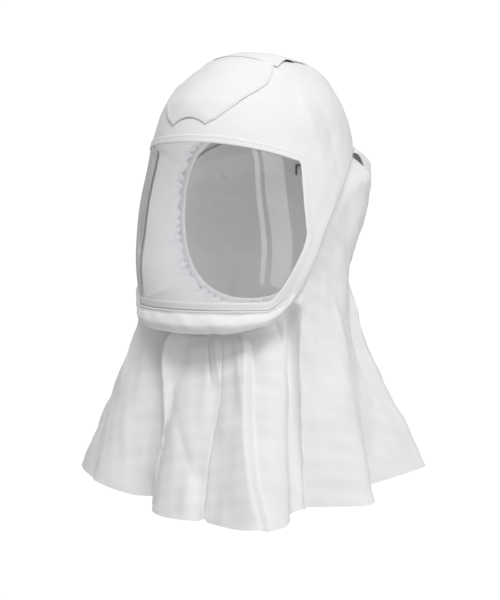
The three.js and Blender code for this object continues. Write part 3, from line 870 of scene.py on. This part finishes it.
def shroud_lines(degrees):
    """The four points of each of the shroud's lines, from its tucked top edge to its hem."""
    edge = shroud_edge_point(degrees, -SHROUD_DROP)
    neck_z = np.minimum(NECK_HEIGHT, edge[:, 2] - NECK_DROP)
    neck = read(FOLD_ROWS, "angle", "neck", degrees) * NECK_RADIUS
    hem = read(FOLD_ROWS, "angle", "hem", degrees) * SHROUD_RADIUS
    rise = read(FOLD_ROWS, "angle", "rise", degrees) * SHROUD_RADIUS
    return [
        shroud_edge_point(degrees, SHROUD_TUCK),
        edge,
        ring_point(degrees, neck, neck_z),
        ring_point(degrees, hem, SHROUD_HEM + rise),
    ]


def shroud_grid(degrees, spans):
    """Points of the shroud, with its belly beside the air inlet."""
    lines = shroud_lines(degrees)
    grid = np.stack([spline(lines, s) for s in spans])
    edge_z, neck_z = lines[1][:, 2], lines[2][:, 2]
    hang = (edge_z - grid[..., 2]) / (edge_z - neck_z)
    belly = smooth(0, 0.2, hang) * (1 - smooth(0.35, 0.95, hang))
    swell = SHROUD_SWELL * read(FOLD_ROWS, "angle", "swell", degrees)
    return grid + ring_point(degrees, swell * belly, 0)


# Pleats of the shroud: three places on each edge, in degrees and heights, then how far the cloth stands out
# on the wearer's left of the edge and on the right, and half the width of the turn, in millimetres
SHROUD_PLEATS = [
    ((-34, -318), (-20, -421), (-14, -527), 14, -26, 10),
    ((31.5, -352), (31, -433), (34.5, -514), -10, 9, 7),
    ((59.5, -287), (55.5, -416), (54, -536), 10, -12, 7),
    ((-62, -330), (-50, -420), (-42, -520), 5, -6, 9),
    ((-92, -330), (-84, -420), (-80, -510), -7, 7, 8),
    ((112, -300), (118, -400), (122, -500), 7, -7, 8),
    ((-140, -280), (-138, -390), (-142, -500), 7, -7, 8),
    ((160, -290), (163, -390), (158, -490), -7, 7, 8),
]

# Small gathers and creases of the shroud, in the same way as the cover's folds
SHROUD_CREASES = [
    (1.5, -334, 9.5, -396, 3.5, -3.2),
    (8, -338, 14, -390, 5, 1.8),
    (15, -341, 16, -421, 1.3, -1.5),
    (16, -415, 14, -485, 1.3, -1.5),
    (14, -478, 14.5, -549, 1.3, -1.8),
    (50.5, -312, 50, -352, 2.5, -3.0),
    (55.5, -306, 55, -345, 2.5, -2.6),
    (53, -312, 52.5, -350, 2.5, 1.6),
    (24, -350, 28, -420, 7, 2.2),
    (84, -300, 90, -420, 9, 3.0),
    (88, -400, 92, -510, 10, 3.0),
    (-8, -430, 8, -500, 9, -2.5),
    (66, -330, 74, -400, 8, -2.5),
    (-64, -320, -50, -400, 8, 3.0),
    (-60, -420, -48, -510, 10, -3.0),
]
SHROUD_DEGREE = 3.1  # millimetres along the shroud
LEFT_REACH = 26  # millimetres over which a pleat flattens out
RIGHT_REACH = 18


def pleats(degrees, z):
    """Height of the shroud's sharp folds: out on one side of an edge and in on the other."""
    height = np.zeros(z.shape)
    across = degrees * SHROUD_DEGREE + 0 * z
    for *edge, left, right, turn in SHROUD_PLEATS:
        places, heights = np.array(edge[::-1], float).T
        bend = np.polyfit(heights, places * SHROUD_DEGREE, 2)
        distance = across - np.polyval(bend, z)
        tilt = np.hypot(1, 2 * bend[0] * z + bend[1])
        distance = distance / tilt
        step = smooth(-turn, turn, distance)
        side = left * step * np.exp(-np.clip(distance, 0, None) / LEFT_REACH)
        side = side + right * (1 - step) * np.exp(np.clip(distance, None, 0) / RIGHT_REACH)
        ends = smooth(heights[2] + 26, heights[2] - 30, z)
        height = height + side * ends
    return height


SEAM_PLACE = 14.5  # degrees, of the front seam's end at the hem
NOTCH_HEIGHT = 4
THIN_FABRIC = FABRIC * 0.7


def make_shroud():
    rows = 112
    degrees = np.concatenate([
        np.linspace(-180, -70, 60, endpoint=False),
        np.linspace(-70, 130, 330, endpoint=False),
        np.linspace(130, 180, 30, endpoint=False),
    ])
    spans = np.concatenate([np.linspace(0, 1, 6)[:-1], np.linspace(1, 3, rows - 5)])
    grid = shroud_grid(degrees, spans)
    fall = np.clip((spans - 1) / 2, 0, 1)[:, None]
    height = 1.0 * waves(grid, 60, 31) + 0.6 * waves(grid, 24, 32)
    creases = laid_flat(SHROUD_CREASES, SHROUD_DEGREE)
    height += folds(degrees[None] * SHROUD_DEGREE, grid[..., 2], creases)
    height += pleats(degrees[None], grid[..., 2])
    height *= smooth(0.02, 0.2, fall)
    notch = np.exp(-(((degrees - SEAM_PLACE) / 1.2) ** 2))
    grid[..., 2] += NOTCH_HEIGHT * notch * smooth(0.93, 1, fall)
    outside = grid + normals_of(grid, True) * FABRIC
    shroud = cloth_piece("skirt", outside, True, CLOTH, THIN_FABRIC, height)
    return stands_for(shroud, "shroud")


def make_pouch():
    spread = np.linspace(-1, 1, 121)[None, :]
    v = np.linspace(0, 1, 49)[:, None]
    angle = math.pi + spread * math.radians(INLET_COVER_SPAN)
    degrees = 180 - np.abs(spread) * INLET_COVER_SPAN
    rear = cover_edge_height(np.array(180.0))
    inlet_bottom = rear - INLET_DROP - INLET_HEIGHT
    high = cover_edge_height(degrees) - 1
    low = mix(high - FABRIC, inlet_bottom + FABRIC, smooth(0, 0.2, 1 - np.abs(spread)))
    z = mix(high, low, v)
    across = np.clip(1 - spread**2, 0, 1) ** 0.8
    down = np.sin(np.minimum(1, v * 1.8) * 0.5 * math.pi)
    points = head_point(angle + 0 * z, z, PIECE_GAP + INLET_COVER_RISE * across * down)
    height = 0.7 * waves(points, 40, 41) + 0.3 * waves(points, 16, 42)
    height *= smooth(0, 0.15, v) * smooth(0, 0.1, 1 - np.abs(spread))
    pouch = cloth_piece("inlet_pouch", points, False, CLOTH, THIN_FABRIC, height)
    return stands_for(pouch, "inlet_cover")


# Camera at the photo's viewing angle: degrees, metres and millimetres
CAMERA_AZIMUTH = 32
CAMERA_DISTANCE = 1.5
CAMERA_HEIGHT = -0.172
CAMERA_TILT = 4.76
CAMERA_LENS = 72


SENSOR_WIDTH = 36


def round_place(degrees, distance, height):
    """A place at an angle from the front, towards the wearer's left."""
    angle = math.radians(degrees)
    return (distance * math.sin(angle), -distance * math.cos(angle), height)


def make_camera():
    data = bpy.data.cameras.new("camera")
    data.lens = CAMERA_LENS
    data.sensor_width = SENSOR_WIDTH
    camera = bpy.data.objects.new("camera", data)
    bpy.context.scene.collection.objects.link(camera)
    camera.location = round_place(CAMERA_AZIMUTH, CAMERA_DISTANCE, CAMERA_HEIGHT)
    camera.rotation_euler = (math.radians(90 - CAMERA_TILT), 0, math.radians(CAMERA_AZIMUTH))
    bpy.context.scene.camera = camera


def area_light(name, place, target, size, power):
    data = bpy.data.lights.new(name, "AREA")
    data.shape = "RECTANGLE"
    data.size, data.size_y = size
    data.energy = power
    light = bpy.data.objects.new(name, data)
    light.location = place
    light.rotation_euler = (Vector(target) - Vector(place)).to_track_quat("-Z", "Y").to_euler()
    bpy.context.scene.collection.objects.link(light)


def fill_light(place, radius, power):
    """A weak unseen light inside the hood, for what its thin cloth lets through."""
    data = bpy.data.lights.new("fill", "POINT")
    data.shadow_soft_size = radius
    data.energy = power
    light = bpy.data.objects.new("fill", data)
    light.location = place
    light.visible_camera = False
    light.visible_glossy = False
    light.visible_transmission = False
    bpy.context.scene.collection.objects.link(light)


FLOOR_HEIGHT = -1.2
FLOOR_HALF = 1.0
FLOOR_COLOR = (0.92, 0.92, 0.92)
AMBIENT_BELOW = 0.3
AMBIENT_ABOVE = 0.6
BACKDROP = 1.05

# Soft boxes: degrees from the front towards the wearer's left, sizes in metres and power in watts
SOFT_BOXES = table("azimuth distance height width tall power", [
    (77, 2.2, 0.1, 0.8, 2.6, 10),
    (59, 2.2, 0.1, 0.2, 2.6, 3),
    (36, 1.7, 1.65, 1.0, 0.7, 29),
])


HOOD_MIDDLE = (0, 0, -0.25)
FILL_PLACE = (0, -0.04, -0.19)
FILL_RADIUS = 0.05
FILL_POWER = 0.14


def make_floor():
    mesh = bpy.data.meshes.new("floor")
    half = FLOOR_HALF
    corners = [(-half, -half, 0), (half, -half, 0), (half, half, 0), (-half, half, 0)]
    mesh.from_pydata(corners, [], [(0, 1, 2, 3)])
    floor = bpy.data.objects.new("floor", mesh)
    floor.location.z = FLOOR_HEIGHT
    material, nodes, links, shader = new_material("floor_paper", FLOOR_COLOR, 0.9)
    grain = noise_node(nodes, links, 300, 2)
    bump = nodes.new("ShaderNodeBump")
    bump.inputs["Strength"].default_value = 0.02
    links.new(grain.outputs["Fac"], bump.inputs["Height"])
    links.new(bump.outputs["Normal"], shader.inputs["Normal"])
    mesh.materials.append(material)
    bpy.context.scene.collection.objects.link(floor)


def make_world():
    """A white backdrop that lights the hood less than it shows."""
    world = bpy.data.worlds.new("studio")
    world.use_nodes = True
    nodes, links = world.node_tree.nodes, world.node_tree.links
    background = nodes["Background"]
    background.inputs["Color"].default_value = (1, 1, 1, 1)
    coords = nodes.new("ShaderNodeTexCoord")
    split = nodes.new("ShaderNodeSeparateXYZ")
    links.new(coords.outputs["Generated"], split.inputs["Vector"])
    ambient = nodes.new("ShaderNodeMapRange")
    ambient.inputs["From Min"].default_value = -0.5
    ambient.inputs["From Max"].default_value = 0.6
    ambient.inputs["To Min"].default_value = AMBIENT_BELOW
    ambient.inputs["To Max"].default_value = AMBIENT_ABOVE
    links.new(split.outputs["Z"], ambient.inputs["Value"])
    ray = nodes.new("ShaderNodeLightPath")
    strength = nodes.new("ShaderNodeMapRange")
    strength.inputs["To Max"].default_value = BACKDROP
    links.new(ambient.outputs["Result"], strength.inputs["To Min"])
    links.new(ray.outputs["Is Camera Ray"], strength.inputs["Value"])
    links.new(strength.outputs["Result"], background.inputs["Strength"])
    bpy.context.scene.world = world


def make_lights():
    for i, (azimuth, distance, height, width, tall, power) in enumerate(zip(*SOFT_BOXES.values())):
        place = round_place(azimuth, distance, height)
        area_light(f"soft_box_{i + 1}", place, HOOD_MIDDLE, (width, tall), power)
    fill_light(FILL_PLACE, FILL_RADIUS, FILL_POWER)


cover = make_cover()
window = make_lens()
binding = make_hem()
yoke = make_yoke()
band = make_ridge()
chin = make_chin()
face = make_seal()
casing = make_elastic()
skirt = make_shroud()
pouch = make_pouch()

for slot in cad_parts["air_inlet"].material_slots:
    slot.material = PLASTIC
make_floor()
make_world()
make_lights()
make_camera()
bpy.context.scene.view_settings.view_transform = "Standard"
